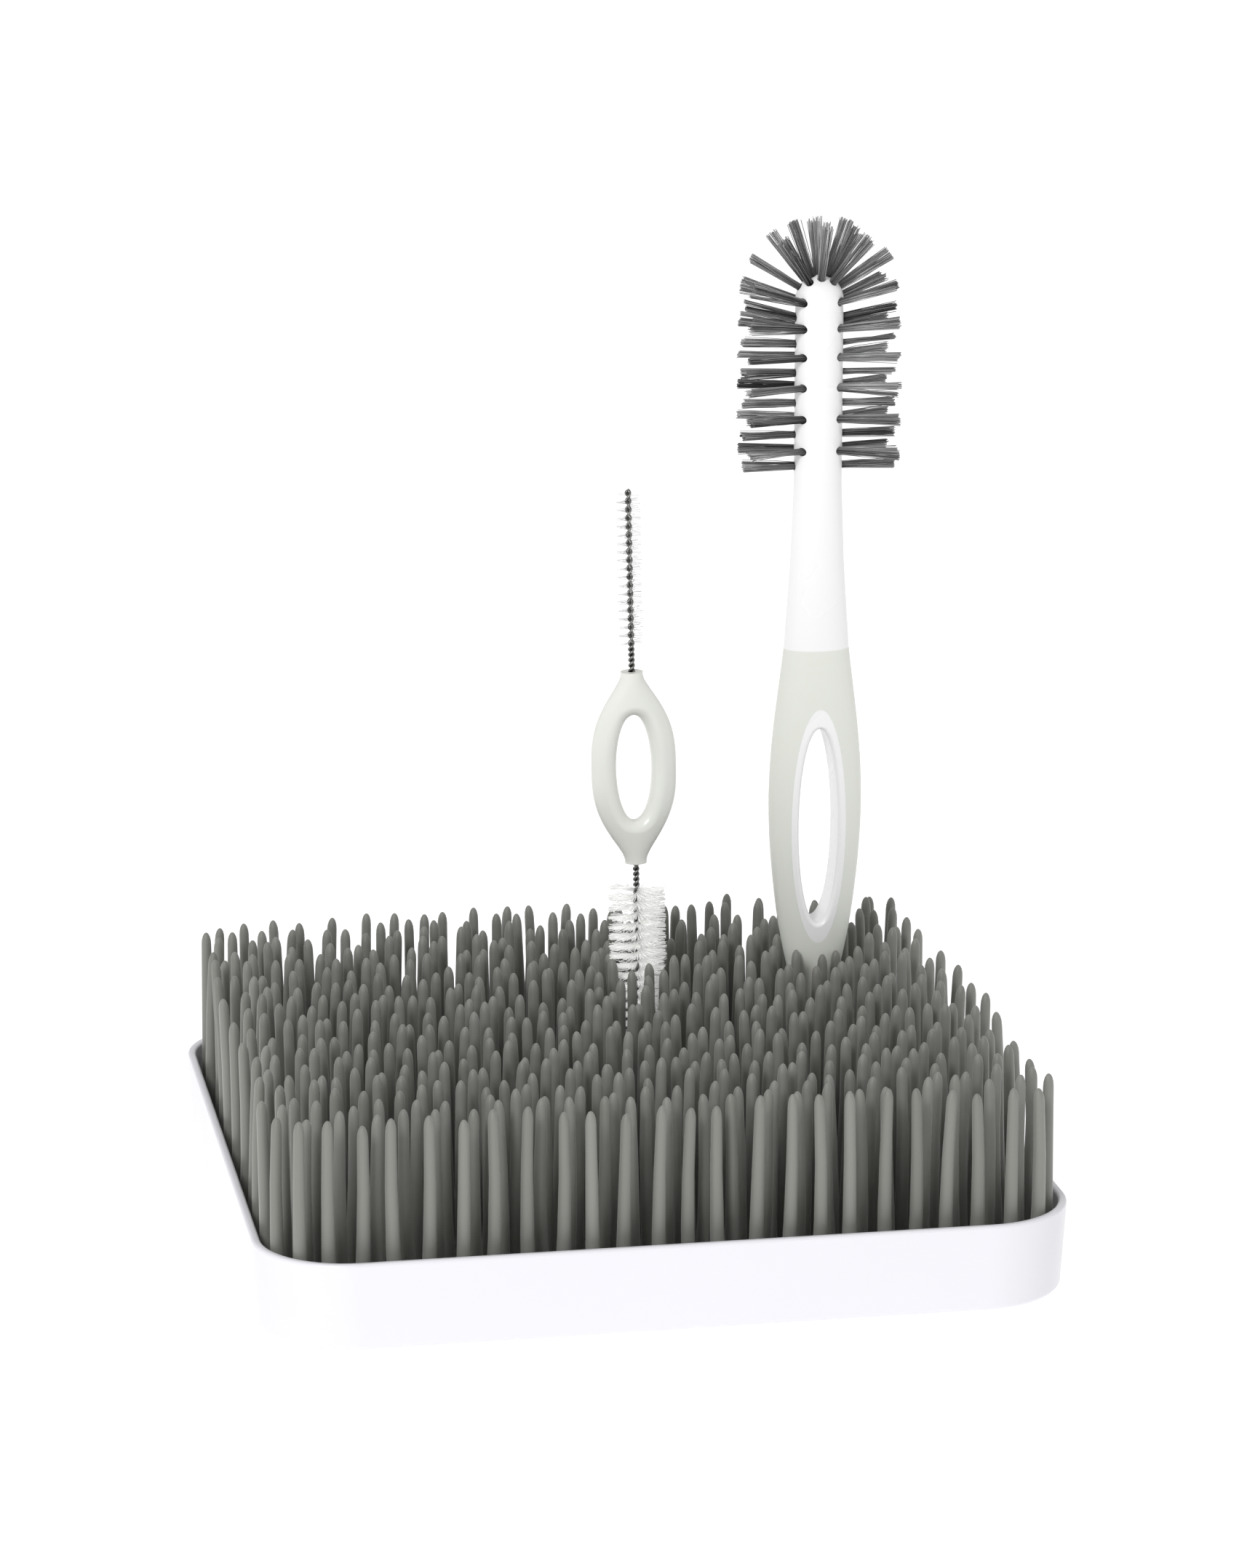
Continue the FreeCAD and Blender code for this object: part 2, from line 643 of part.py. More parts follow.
def make_bottle_brush():
    """The grip, the core under and above it, and the tufts, about the brush's own foot."""
    stem_sections = grip_sections("stem", ["collar", "neck", "stem"], "0")
    stem_sections.append(level_oval("stem_head", cell("stem_width"), cell("stem_depth"), cell("dome_height")))
    stem = loft("stem_loft", stem_sections)
    stem.Ruled = True
    tail_size = [cell(name) for name in ("tail_round", "tail_width", "tail_depth", "tail_round")]
    head_size = [cell(name) for name in ("dome_rise", "stem_width", "stem_depth", "dome_height")]
    skin = fuse(
        "brush_skin", loft("grip_loft", grip_sections("grip", GRIP_STATIONS, "0")), stem,
        dome("tail_dome", *tail_size, (-90, 0)), dome("head_dome", *head_size, (0, 90)),
    )
    inner = loft("core_inner", grip_sections("inner", GRIP_STATIONS, cell("grip_wall")))
    above = part(
        "Part::Cylinder", "above_grip", Radius=cell("belly_width"),
        Height=cell("dome_height"), Placement__Base__z=cell("collar_height"),
    )
    thick = "2 * Sizes.belly_depth"
    lip = upright_oval(
        "lip_oval", "Sizes.window_height + 2 * Sizes.lip_ends", "Sizes.window_width + 2 * Sizes.lip_sides",
        cell("window_centre"), thick,
    )
    window = upright_oval(
        "window_oval", cell("window_height"), cell("window_width"), cell("window_centre"), thick,
    )
    upper = boolean("Part::Common", "core_upper", skin, above)
    lip_ring = boolean("Part::Common", "core_lip", skin, lip)
    solid_core = fuse("core_blank", upper, inner, lip_ring)
    core = boolean("Part::Cut", "core_windowed", solid_core, window)
    soft = boolean("Part::Cut", "grip_blank", boolean("Part::Cut", "grip_below", skin, above), solid_core)
    doc.recompute()
    tufts = make_tufts()
    sockets = Part.makeCompound([socket for group in tufts.values() for socket, _ in group])
    rounded = rounded_oval(core.Shape, "window_height", "window_width", size("window_centre"), "window_round")
    core_shape = rounded.cut(sockets).Solids[0]
    pieces = [feature("brush_core", core_shape), feature("brush_grip", soft.Shape.Solids[0])]
    for name, group in tufts.items():
        pieces.append(feature(f"tufts_{name}", Part.makeCompound([tuft for _, tuft in group])))
    return stand_up(pieces, Placement(bottle_brush_foot(), Rotation()))


def stand_up(pieces, place):
    """Moves pieces drawn about a brush's own origin to where the brush stands."""
    for piece in pieces:
        piece.Placement = place.multiply(piece.Placement)
    return pieces


def rounded_oval(shape, height, width, centre, radius):
    """Rounds the edges of an upright oval hole on both faces of a piece."""
    def on_hole(edge):
        box = edge.BoundBox
        return (
            abs(box.ZLength - size(height)) < HOLE_SEARCH and box.XLength < size(width) + HOLE_SEARCH
            and abs((box.ZMin + box.ZMax) / 2 - centre) < HOLE_SEARCH
        )
    edges = [edge for edge in shape.Edges if on_hole(edge)]
    if len(edges) < 2:
        raise RuntimeError(f"the rim of {height} was not found")
    return shape.makeFillet(size(radius), edges)


def tuft_and_socket(base, direction, extra=0.0):
    """A tuft that widens outward from inside the stem, and the hole that it fills."""
    sunk = base - direction * size("tuft_depth")
    length = size("tuft_depth") + size("tuft_length") + extra
    tuft = Part.makeCone(size("tuft_root") / 2, size("tuft_tip") / 2, length, sunk, direction)
    slope = (size("tuft_tip") - size("tuft_root")) / 2 / length
    fit, spare = size("tuft_fit") / 2, size("tuft_depth")
    far = size("tuft_depth") + spare
    socket = Part.makeCone(
        size("tuft_root") / 2 + fit, size("tuft_root") / 2 + fit + slope * far, far, sunk, direction,
    )
    return socket, tuft


def make_tufts():
    """Tufts in three columns on each side of the stem, and a fan of them over its dome."""
    half_x, half_y = size("stem_width") / 2, size("stem_depth") / 2
    groups = {"left": [], "right": [], "crown": []}
    for side, name in ((-1, "left"), (1, "right")):
        for column in (-1, 0, 1):
            round_ = math.radians(size("column_angle")) * column
            splay = math.radians(size("column_splay")) * column
            count = int(size("tufts_in_column"))
            for n in range(count):
                level = n + abs(column) / 2
                rise = math.radians(size("column_top_lift")) * (level / (count - 0.5)) ** LIFT_POWER
                direction = Vector(
                    side * math.cos(splay) * math.cos(rise), math.sin(splay) * math.cos(rise), math.sin(rise),
                )
                height = size("tuft_first") + level * size("tuft_pitch") - size("tuft_closing") * n ** 3
                base = Vector(side * half_x * math.cos(round_), half_y * math.sin(round_), height)
                extra = size("column_extra") * abs(column)
                groups[name].append(tuft_and_socket(base, direction, extra))
    rows = [(0, "middle"), (-1, "side"), (1, "side")]
    for way, kind in rows:
        count, most = int(size(f"crown_{kind}")), size(f"crown_{kind}_lean")
        splay = math.radians(size("crown_splay")) * way
        for n in range(count):
            lean = math.radians(-most + 2 * most * n / (count - 1))
            direction = Vector(
                math.sin(lean) * math.cos(splay), math.sin(splay), math.cos(lean) * math.cos(splay),
            )
            radii = half_x, half_y, size("dome_rise")
            reach = 1 / math.hypot(*(share / radius for share, radius in zip(direction, radii)))
            base = Vector(0, 0, size("dome_height")) + direction * reach
            groups["crown"].append(tuft_and_socket(base, direction, size("crown_extra")))
    return groups


# ---------------------------------------------------------------- detail brush

def swell(place):
    """How far the ring's outline has swollen, 0 at a neck (place -1 or 1) and 1 in the middle (place 0)."""
    reach = min(1.0, abs(place) / RING_SHOULDER)
    return math.cos(math.pi / 2 * reach ** RING_FULLNESS) ** RING_NECKING


def make_detail_brush():
    """A ring handle with a wire brush at each end, about the ring's middle."""
    sections = []
    for n in range(-RING_SECTIONS, RING_SECTIONS + 1):
        share = swell(n / RING_SECTIONS)
        width, depth = (
            f"Sizes.ring_neck + (Sizes.{across} - Sizes.ring_neck) * {share}"
            for across in ("ring_width", "ring_depth")
        )
        height = f"Sizes.ring_length / 2 * {n / RING_SECTIONS}"
        sections.append(level_oval(f"ring_section_{n + RING_SECTIONS}", width, depth, height))
    ring = loft("ring_blank", sections)
    hole = upright_oval(
        "ring_hole", cell("ring_hole_height"), cell("ring_hole_width"), "0", "2 * Sizes.ring_depth",
    )
    bores = [
        part(
            "Part::Cylinder", f"wire_bore_{end}", Radius="(Sizes.wire_width + Sizes.wire_fit) / 2",
            Height=cell("wire_grip"), Placement__Base__z=start,
        )
        for end, start in (
            ("high", "Sizes.ring_length / 2 - Sizes.wire_grip"), ("low", "-Sizes.ring_length / 2"),
        )
    ]
    handle = boolean("Part::Cut", "ring_cut", ring, fuse("ring_cutters", hole, *bores))
    wires = {
        "straw": ("Sizes.ring_length / 2 - Sizes.wire_grip", "Sizes.wire_grip + Sizes.straw_reach"),
        "teat": (
            "-Sizes.ring_length / 2 - Sizes.teat_reach", "Sizes.wire_grip + Sizes.teat_reach",
        ),
    }
    solids = {}
    for name, (start, length) in wires.items():
        solids[f"{name}_wire"] = part(
            "Part::Cylinder", f"{name}_wire_rod", Radius="Sizes.wire_width / 2", Height=length,
            Placement__Base__z=start,
        )
    solids["straw_bristles"] = bristles_about_wire("straw", [part(
        "Part::Cylinder", "straw_brush", Radius="Sizes.straw_bristle / 2",
        Height="Sizes.straw_reach - Sizes.straw_bare - Sizes.wire_end",
        Placement__Base__z="Sizes.ring_length / 2 + Sizes.straw_bare",
    )])
    low = "(-Sizes.ring_length / 2 - Sizes.teat_reach + Sizes.wire_end)"
    squeeze = "(Sizes.blade_height - Sizes.detail_seat + Sizes.hold_gap - Sizes.wire_end)"
    solids["teat_bristles"] = bristles_about_wire("teat", [
        part(
            "Part::Cone", "teat_squeezed_brush", Radius1="Sizes.teat_squeezed / 2",
            Radius2="Sizes.teat_bristle / 2", Height=squeeze, Placement__Base__z=low,
        ),
        part(
            "Part::Cylinder", "teat_free_brush", Radius="Sizes.teat_bristle / 2",
            Height=f"-Sizes.ring_length / 2 - Sizes.teat_bare - {low} - {squeeze}",
            Placement__Base__z=f"{low} + {squeeze}",
        ),
    ])
    doc.recompute()
    foot = brush_place(DETAIL_BRUSH_SPOT, "detail_seat")
    turn = Rotation(Vector(0, 1, 0), -size("detail_tilt"))
    above_foot = Vector(0, 0, size("ring_length") / 2 + size("teat_reach"))
    ring_shape = rounded_oval(handle.Shape, "ring_hole_height", "ring_hole_width", 0.0, "ring_round")
    pieces = [feature("detail_handle", ring_shape.Solids[0])]
    pieces += [feature(label, solid.Shape.Solids[0]) for label, solid in solids.items()]
    return stand_up(pieces, Placement(foot + turn.multVec(above_foot), turn))


def bristles_about_wire(name, blanks):
    """Bristles as one block with a bore for their wire."""
    bore = part(
        "Part::Cylinder", f"{name}_bore", Radius="(Sizes.wire_width + Sizes.wire_fit) / 2",
        Height="2 * (Sizes.ring_length + Sizes.teat_reach)",
        Placement__Base__z="-Sizes.ring_length - Sizes.teat_reach",
    )
    blank = fuse(f"{name}_blank", *blanks) if len(blanks) > 1 else blanks[0]
    return boolean("Part::Cut", f"{name}_bored", blank, bore)


# ---------------------------------------------------------------- build, check, write

def write_steps(nodes):
    os.makedirs("parts", exist_ok=True)
    for node in nodes:
        node.Shape.exportStep(f"parts/{node.Label}.step")
        print(f"{node.Label}: {len(node.Shape.Solids)} solids, {node.Shape.Volume / 1000:.2f} cm3")


def check(nodes):
    for thing in doc.Objects:
        if {"Invalid", "Error"} & set(thing.State):
            raise RuntimeError(f"{thing.Label} did not compute: {thing.State}")
    for node in nodes:
        if node.Shape.isNull() or not node.Shape.isValid() or not node.Shape.Solids:
            raise RuntimeError(f"{node.Label} has no valid solid")


nodes = [make_tray()] + make_pan() + make_blade_rows() + make_bottle_brush() + make_detail_brush()
doc.recompute()
check(nodes)
write_steps(nodes)
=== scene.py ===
# %% [markdown]
# # A drying rack of soft blades, with two cleaning brushes
#
# The rack is a white tray with a dark insert: hundreds of soft upright blades that hold bottles and small
# parts apart while they drip. A bottle brush and a double-ended detail brush stand in the blades.
#
# The exact shapes come from a CAD model, which is the frame. It could be shown as it is, but a CAD model
# has stiff straight blades and solid blocks for bristles, so most pieces here are made again with finer
# detail on top of it.

import math
import random

import bmesh
import bpy
from mathutils import Matrix, Vector


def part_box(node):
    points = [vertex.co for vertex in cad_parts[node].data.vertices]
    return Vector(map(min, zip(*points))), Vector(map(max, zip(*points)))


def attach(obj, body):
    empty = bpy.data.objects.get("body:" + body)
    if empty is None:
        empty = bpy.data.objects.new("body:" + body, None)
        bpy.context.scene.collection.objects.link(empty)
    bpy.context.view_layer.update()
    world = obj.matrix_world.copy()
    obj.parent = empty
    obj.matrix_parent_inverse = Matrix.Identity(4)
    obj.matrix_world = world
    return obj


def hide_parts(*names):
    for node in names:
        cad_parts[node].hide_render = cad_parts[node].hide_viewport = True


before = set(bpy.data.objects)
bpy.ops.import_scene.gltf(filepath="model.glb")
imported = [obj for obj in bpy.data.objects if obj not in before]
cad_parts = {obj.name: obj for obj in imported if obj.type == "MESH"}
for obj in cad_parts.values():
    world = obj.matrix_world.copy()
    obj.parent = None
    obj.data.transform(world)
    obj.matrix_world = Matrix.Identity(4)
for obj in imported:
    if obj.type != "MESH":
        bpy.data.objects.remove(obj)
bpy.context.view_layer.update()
MM = 0.001

# %% [markdown]
# ## The camera
#
# The camera comes first, because every later choice is judged through it. A long lens from far away keeps
# the tray's sides nearly parallel, as in a catalogue picture. The numbers give the camera's place and the
# direction it looks.

# %% Camera
CAMERA_PLACE = Vector((-0.2607, -1.4477, 0.4961))
CAMERA_BACK = Vector((-0.1762, -0.9547, 0.2396))
FOCAL_LENGTH, SENSOR_WIDTH = 114.5, 36


def aim(thing, back):
    """Turns a camera or lamp so that it looks against the direction back, and stays level."""
    thing.rotation_euler = back.to_track_quat("Z", "Y").to_euler()


lens = bpy.data.cameras.new("catalogue_lens")
lens.lens = FOCAL_LENGTH
lens.sensor_width = SENSOR_WIDTH
camera = bpy.data.objects.new("catalogue_camera", lens)
bpy.context.scene.collection.objects.link(camera)
camera.location = CAMERA_PLACE
aim(camera, CAMERA_BACK)
bpy.context.scene.camera = camera
print("camera looks down by", round(math.degrees(math.asin(CAMERA_BACK.normalized().z)), 1), "degrees")

# %% [markdown]
# ## Writing shader maths as plain expressions
#
# A material's pattern is arithmetic on numbers that change over the surface. In the node editor each sum is
# a Math node. Here a small class wraps a socket, so that `drift * 0.2 + 0.4` adds those nodes by itself.
# Colours go through Mix nodes, because a Math node would turn them grey.

# %% The maths class and the material maker
class Wave:
    """A number that changes over a surface: the output socket of a node."""

    def __init__(self, finish, socket):
        self.finish, self.socket = finish, socket

    def _math(self, operation, a, b):
        node = self.finish.node("ShaderNodeMath", {"operation": operation}, {0: a, 1: b})
        return Wave(self.finish, node.outputs[0])

    def __add__(self, other):
        return self._math("ADD", self, other)

    def __mul__(self, other):
        return self._math("MULTIPLY", self, other)

    __radd__, __rmul__ = __add__, __mul__


class Finish:
    """A material being built: its nodes, its surface shader, and short ways to add to them."""

    def __init__(self, name, **sockets):
        self.material = bpy.data.materials.new(name)
        self.material.use_nodes = True
        self.tree = self.material.node_tree
        self.surface = self.tree.nodes["Principled BSDF"]
        for socket, value in sockets.items():
            self.surface.inputs[socket.replace("_", " ")].default_value = value

    def node(self, kind, settings=None, sockets=None):
        """Adds a node. Settings come first, then the values or links of its sockets."""
        made = self.tree.nodes.new(kind)
        for name, value in (settings or {}).items():
            setattr(made, name, value)
        for key, value in (sockets or {}).items():
            if isinstance(value, Wave):
                value = value.socket
            if isinstance(value, bpy.types.NodeSocket):
                self.tree.links.new(value, made.inputs[key])
            else:
                made.inputs[key].default_value = value
        return made

    def place(self, stretch=(1, 1, 1)):
        """Object coordinates, stretched along the axes."""
        coordinates = self.node("ShaderNodeTexCoord").outputs["Object"]
        return self.node("ShaderNodeMapping", {}, {"Vector": coordinates, "Scale": stretch}).outputs[0]

    def noise(self, scale, detail=2.0, stretch=(1, 1, 1)):
        """Smooth noise about 0.5, with scale in cells per metre."""
        made = self.node(
            "ShaderNodeTexNoise", {}, {"Vector": self.place(stretch), "Scale": scale, "Detail": detail},
        )
        return Wave(self, made.outputs["Fac"])

    def attribute(self, name):
        return Wave(self, self.node("ShaderNodeAttribute", {"attribute_name": name}).outputs["Fac"])

    def blend(self, amount, first, second):
        """A colour between two, by an amount from 0 to 1."""
        made = self.node(
            "ShaderNodeMix", {"data_type": "RGBA"}, {"Factor": amount, "A": (*first, 1), "B": (*second, 1)},
        )
        return made.outputs["Result"]

    def feed(self, socket, value):
        """Drives a socket of the surface with a number or colour that changes over it."""
        self.tree.links.new(getattr(value, "socket", value), self.surface.inputs[socket])

    def bump(self, height, distance):
        """Raises the surface by height times distance, in metres."""
        made = self.node("ShaderNodeBump", {}, {"Height": height, "Distance": distance, "Strength": 1.0})
        self.tree.links.new(made.outputs[0], self.surface.inputs["Normal"])


# %% [markdown]
# ## The finishes
#
# Moulded plastic is never one flat colour. It has a slow drift in gloss where the mould was polished by
# hand, and a very fine grain that softens its reflections. Each finish below is a Principled shader with
# that drift in its roughness and colour and the grain as bump.
#
# The blades are a soft rubber. Light gets a little way into it, and it has a dusty sheen rather than a
# mirror's gloss. Each blade carries its own shade as an attribute, because no two blades catch the same
# dust.

# %% Moulded finishes
def moulded(name, light, dark, roughness, grain, **sockets):
    """Plastic with a drift of colour and gloss, and a fine grain."""
    finish = Finish(name, **sockets)
    drift = finish.noise(28, 3.0)
    finish.feed("Base Color", finish.blend(drift, dark, light))
    finish.feed("Roughness", drift * 0.12 + (roughness - 0.06))
    finish.bump(finish.noise(1900, 2.0), grain)
    return finish.material


tray_white = moulded(
    "tray_white", (0.76, 0.755, 0.795), (0.748, 0.743, 0.783), 0.3, 0.000006,
    Coat_Weight=0.1, Coat_Roughness=0.2,
)
core_white = moulded(
    "core_white", (0.875, 0.875, 0.875), (0.865, 0.865, 0.865), 0.28, 0.000004, Coat_Weight=0.1,
)
grip_grey = moulded(
    "grip_grey", (0.75, 0.765, 0.71), (0.73, 0.745, 0.69), 0.4, 0.00001,
    Subsurface_Weight=0.08, Subsurface_Scale=0.002,
)
ring_grey = moulded(
    "ring_grey", (0.77, 0.78, 0.735), (0.75, 0.76, 0.715), 0.3, 0.00001,
    Coat_Weight=0.3, Coat_Roughness=0.2,
)
print("moulded finishes", [m.name for m in (tray_white, core_white, grip_grey, ring_grey)])

# %% Blade rubber
def blade_finish():
    """Soft dark rubber; the shade of each blade comes from its attribute."""
    finish = Finish("blade_rubber", Sheen_Weight=0.25, Sheen_Roughness=0.5)
    shade = finish.attribute("shade")
    drift = finish.noise(60, 3.0, (1, 1, 0.35))
    mixed = shade * 0.75 + drift * 0.25
    finish.feed("Base Color", finish.blend(mixed, (0.16, 0.162, 0.144), (0.245, 0.247, 0.226)))
    finish.feed("Roughness", drift * 0.2 + 0.42)
    finish.bump(finish.noise(900, 3.0, (1, 1, 0.3)), 0.00004)
    return finish.material


blade_rubber = blade_finish()

# %% Filament finishes
def filament_finish(name, dark, light, roughness, **sockets):
    """Nylon drawn into thread: each thread has its own shade."""
    finish = Finish(name, **sockets)
    finish.feed("Base Color", finish.blend(finish.attribute("shade"), dark, light))
    drift = finish.noise(400, 2.0)
    finish.feed("Roughness", drift * 0.2 + (roughness - 0.1))
    return finish.material


tuft_nylon = filament_finish("tuft_nylon", (0.02, 0.02, 0.02), (0.54, 0.54, 0.54), 0.42)
straw_nylon = filament_finish("straw_nylon", (0.66, 0.68, 0.66), (0.84, 0.85, 0.84), 0.3)
# painted light: the wide brush glows a little, standing in for light that comes through its clear threads
# and lifting them out of their own shade
teat_nylon = filament_finish(
    "teat_nylon", (0.95, 0.96, 0.93), (0.99, 0.99, 0.98), 0.35, Emission_Color=(1, 1, 1, 1),
    Emission_Strength=0.17,
)


def wire_finish():
    """Steel that has dulled a little, with a drift of gloss along it."""
    finish = Finish("twisted_steel", Metallic=1.0)
    drift = finish.noise(700, 2.0)
    finish.feed("Base Color", finish.blend(drift, (0.17, 0.175, 0.165), (0.3, 0.305, 0.29)))
    finish.feed("Roughness", drift * 0.2 + 0.25)
    return finish.material


twisted_steel = wire_finish()
print("filament finishes", tuft_nylon.name, straw_nylon.name, teat_nylon.name, twisted_steel.name)

# %% [markdown]
# ## Turning a mesh into a piece
#
# Every piece ends the same way: its mesh becomes an object at the origin, gets a finish, is parented to the
# CAD body it moves with, and the CAD nodes it stands for are hidden. One helper does this, so no piece
# forgets a step.

# %% The piece helper
def piece(name, bm, material, body, replaced=(), sharp=None, weighted=False):
    """Makes an object from a bmesh and hooks it to the frame."""
    mesh = bpy.data.meshes.new(name)
    for face in bm.faces:
        face.smooth = True
    bm.to_mesh(mesh)
    bm.free()
    if sharp:
        mesh.set_sharp_from_angle(angle=math.radians(sharp))
    mesh.materials.append(material)
    made = bpy.data.objects.new(name, mesh)
    bpy.context.scene.collection.objects.link(made)
    if weighted:
        made.modifiers.new("even_shading", "WEIGHTED_NORMAL").keep_sharp = True
    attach(made, body)
    if replaced:
        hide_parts(*replaced)
    print(name, len(mesh.polygons), "faces")
    return made


def node_islands(node):
    """The separate solids of a CAD node, each as a list of points."""
    bm = bmesh.new()
    bm.from_mesh(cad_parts[node].data)
    bmesh.ops.remove_doubles(bm, verts=bm.verts, dist=1e-6)
    seen, islands = set(), []
    for start in bm.verts:
        if start in seen:
            continue
        found, edge_of = [], [start]
        seen.add(start)
        while edge_of:
            vert = edge_of.pop()
            found.append(vert.co.copy())
            for edge in vert.link_edges:
                other = edge.other_vert(vert)
                if other not in seen:
                    seen.add(other)
                    edge_of.append(other)
        islands.append(found)
    bm.free()
    return islands


def middle(points):
    return sum(points, Vector()) / len(points)


# %% [markdown]
# ## The blades
#
# Each real blade is a slim cone with a rounded tip. They were moulded upright in one piece with the floor,
# and after some use each leans and curls a little its own way. A particle system could scatter them, but
# then they would miss the solids that the physics uses. So each CAD blade is measured: where its foot is
# and where its tip is. A template blade, drawn once from a circle and extruded ring by ring, is laid
# between those two points and bent slightly.

# %% Measure the CAD blades
FOOT_LAYER, TIP_LAYER = 0.02 * MM, 0.1 * MM
blade_rows = sorted(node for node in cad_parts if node.startswith("blade_row"))
blade_places = []
for row in blade_rows:
    for points in node_islands(row):
        low, high = min(p.z for p in points), max(p.z for p in points)
        foot = middle([p for p in points if p.z < low + FOOT_LAYER])
        tip = middle([p for p in points if p.z > high - TIP_LAYER])
        blade_places.append((foot, tip))
print(len(blade_places), "blades in", len(blade_rows), "rows")

# %% The template blade
BLADE_ROOT, BLADE_NECK, BLADE_TIP = 4.5 * MM, 3.2 * MM, 4.0 * MM
BLADE_HEIGHT = max(tip.z - foot.z for foot, tip in blade_places)
SHAFT_SHARES = (0, 0.34, 0.68, 1)
DOME_ANGLES = (0.4, 0.78, 1.1, 1.36)


def blade_rings():
    """Heights and radii from root to tip: a straight taper, then a rounded point."""
    neck = 1 - BLADE_TIP / BLADE_HEIGHT
    shaft = [(share * neck, (BLADE_ROOT + (BLADE_NECK - BLADE_ROOT) * share) / 2) for share in SHAFT_SHARES]
    dome = [
        (neck + (1 - neck) * math.sin(angle), BLADE_NECK / 2 * math.cos(angle))
        for angle in DOME_ANGLES
    ]
    return shaft + dome


def template_blade(sides=10):
    """A blade of height 1 along Z, closed at its tip, with one ring of faces for each step."""
    bm = bmesh.new()
    rings = blade_rings()
    ring = bmesh.ops.create_circle(bm, segments=sides, radius=rings[0][1])["verts"]
    edges = list({edge for vert in ring for edge in vert.link_edges})
    for (_, before), (height, radius) in zip(rings, rings[1:]):
        grown = bmesh.ops.extrude_edge_only(bm, edges=edges)["geom"]
        ring = [g for g in grown if isinstance(g, bmesh.types.BMVert)]
        edges = [g for g in grown if isinstance(g, bmesh.types.BMEdge)]
        bmesh.ops.scale(bm, vec=(radius / before, radius / before, 1), verts=ring)
        bmesh.ops.translate(bm, vec=(0, 0, height - ring[0].co.z), verts=ring)
    top = bmesh.ops.extrude_edge_only(bm, edges=edges)["geom"]
    point = [g for g in top if isinstance(g, bmesh.types.BMVert)]
    bmesh.ops.pointmerge(bm, verts=point, merge_co=(0, 0, 1))
    bmesh.ops.recalc_face_normals(bm, faces=bm.faces)
    mesh = bpy.data.meshes.new("template_blade")
    bm.to_mesh(mesh)
    bm.free()
    return mesh


blade_mesh = template_blade()
print("template blade", len(blade_mesh.polygons), "faces")

# %% Lay a blade on every CAD blade
BLADE_CURL = 0.75 * MM
BLADE_CHANCE_SEED = 4


def lay_blades():
    """The template on every pair of foot and tip, curled a little and with its own shade."""
    chance = random.Random(BLADE_CHANCE_SEED)
    bm = bmesh.new()
    shade = bm.verts.layers.float.new("shade")
    for foot, tip in blade_places:
        already = len(bm.verts)
        bm.from_mesh(blade_mesh)
        bm.verts.ensure_lookup_table()
        added = bm.verts[already:]
        rise = tip - foot
        curl = Vector((chance.uniform(-1, 1), chance.uniform(-1, 1), 0)) * BLADE_CURL
        turn = chance.uniform(0, math.tau)
        tone = min(1, max(0, chance.gauss(0.5, 0.2)))
        place = Matrix.Translation(foot) @ Matrix((
            (1, 0, rise.x, 0), (0, 1, rise.y, 0), (0, 0, rise.z, 0), (0, 0, 0, 1),
        )) @ Matrix.Rotation(turn, 4, "Z")
        for vert in added:
            along = vert.co.z
            vert.co = place @ vert.co + curl * 4 * along * (1 - along)
            vert[shade] = tone
    return bm


piece("blades", lay_blades(), blade_rubber, "insert", blade_rows)
bpy.data.meshes.remove(blade_mesh)

# %% [markdown]
# ## The tray
#
# The tray is a shallow square dish with generous round corners. It could be a flat sheet with a Solidify
# modifier, but a tray wants a flat floor, a wall of even thickness and a rim that is fully round. So it
# starts as one square face. Its corners are rounded with a bevel, the face is extruded up into a block, the
# top is inset by the wall's thickness and pushed down into a basin, and a bevel rounds the rim, the foot
# and the basin's floor.

# %% Tray
TRAY_CORNER, TRAY_WALL, TRAY_FLOOR, TRAY_DRAFT = 28 * MM, 2.6 * MM, 2.6 * MM, 1.4 * MM
RIM_ROUND, FOOT_ROUND, BASIN_ROUND = 1.0 * MM, 1.6 * MM, 3.0 * MM
CORNER_SEGMENTS = 14


def rounded_square(bm, width, depth, corner, segments):
    """One face with round corners, centred on the origin."""
    square = bmesh.ops.create_grid(bm, x_segments=1, y_segments=1, size=0.5)["verts"]
    bmesh.ops.scale(bm, vec=(width, depth, 1), verts=square)
    bmesh.ops.bevel(
        bm, geom=square, offset=corner, offset_type="OFFSET", segments=segments, profile=0.5,
        affect="VERTICES", material=-1,
    )
    return bm.faces[:][0]


def face_edges_at(bm, height, tolerance=1e-6):
    """Edges that lie level at a height."""
    return [edge for edge in bm.edges if all(abs(vert.co.z - height) < tolerance for vert in edge.verts)]


def round_over(bm, edges, radius, segments):
    """Rounds edges off."""
    bmesh.ops.bevel(
        bm, geom=edges, offset=radius, offset_type="OFFSET", segments=segments, profile=0.5,
        affect="EDGES", material=-1, clamp_overlap=True,
    )


